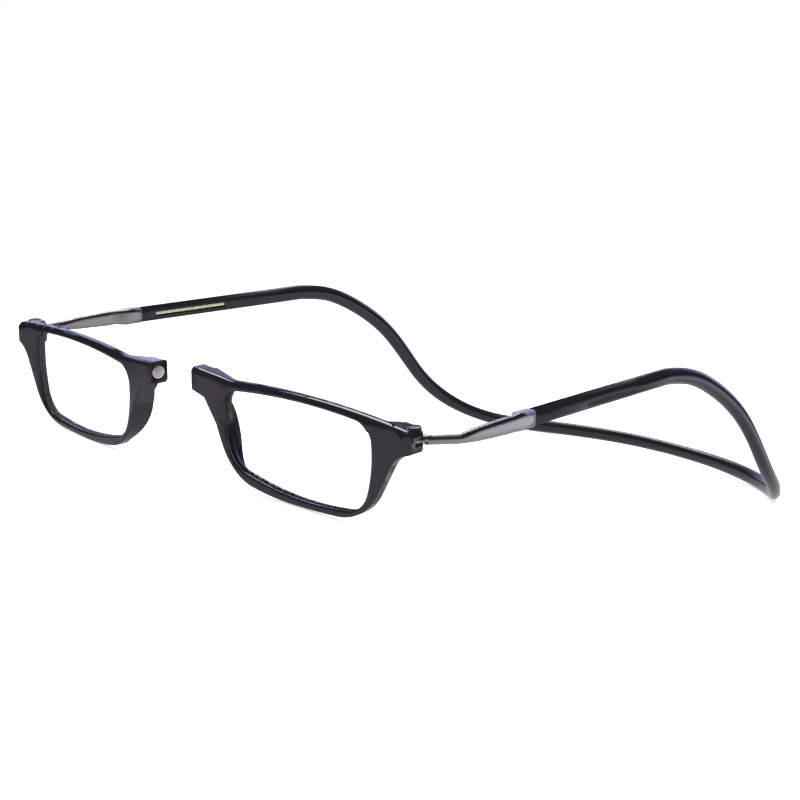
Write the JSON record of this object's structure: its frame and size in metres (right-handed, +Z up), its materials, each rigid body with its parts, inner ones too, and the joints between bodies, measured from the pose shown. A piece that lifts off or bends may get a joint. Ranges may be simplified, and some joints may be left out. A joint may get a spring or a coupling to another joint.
{
  "type": "magnetic bridge reading glasses",
  "caption": "Reading glasses that part at the bridge: hinged front halves with a magnet in each stub, on metal arms that slide in the ends of a wraparound headband.",
  "frame": {"origin": "middle of the bottom of the whole object's box, on the surface that the rims and the back of the headband stand on, with the bridge open as pictured", "axes": "+X to the wearer's left, +Y backwards from the front halves to the back of the headband, +Z up"},
  "size_m": [0.1578, 0.2098, 0.0408],
  "materials": {
    "black_frame": "high gloss",
    "black_band": "gloss",
    "clear_lens": "polished, clear",
    "magnet_nickel": "nickel plated",
    "screw_steel": "machined",
    "insert_brass": "plain",
    "arm_nickel": "satin nickel",
    "tongue_steel": "plain",
    "pin_black": "blackened",
    "strip_light": "moulded"
  },
  "bodies": {
    "left_band": {"left_headband": "black_band", "left_ratchet_strip": "strip_light", "left_stop_pin": "pin_black"},
    "left_arm": {"left_arm": "arm_nickel", "left_tongue": "tongue_steel"},
    "left_rim": {"left_rim": "black_frame", "left_lens": "clear_lens", "left_magnet": "magnet_nickel", "left_hinge_screw": "screw_steel", "left_hinge_insert": "insert_brass"},
    "right_band": {"right_headband": "black_band", "right_ratchet_strip": "strip_light", "right_stop_pin": "pin_black"},
    "right_arm": {"right_arm": "arm_nickel", "right_tongue": "tongue_steel"},
    "right_rim": {"right_rim": "black_frame", "right_lens": "clear_lens", "right_magnet": "magnet_nickel", "right_hinge_screw": "screw_steel", "right_hinge_insert": "insert_brass"}
  },
  "joints": [
    {"name": "headband_flex", "type": "hinge", "parent": "left_band", "child": "right_band", "pos_m": [0, 0.10325, 0.00388], "axis": [0, -0.199, 0.98], "range_deg": [-8, 2.75], "stiffness_Nm_per_rad": 2},
    {"name": "left_arm_slide", "type": "slide", "parent": "left_band", "child": "left_arm", "axis": [-0.0854, 0.9816, 0.1709], "range_m": [-0.018, 0]},
    {"name": "left_rim_swing", "type": "hinge", "parent": "left_arm", "child": "left_rim", "pos_m": [0.0736, -0.09137, 0.02308], "axis": [0, 0.199, -0.98], "range_deg": [-80, 2.13]},
    {"name": "right_arm_slide", "type": "slide", "parent": "right_band", "child": "right_arm", "axis": [0.0854, 0.9816, 0.1709], "range_m": [-0.018, 0]},
    {"name": "right_rim_swing", "type": "hinge", "parent": "right_arm", "child": "right_rim", "pos_m": [-0.0736, -0.09137, 0.02308], "axis": [0, -0.199, 0.98], "range_deg": [-80, 5.63]}
  ]
}
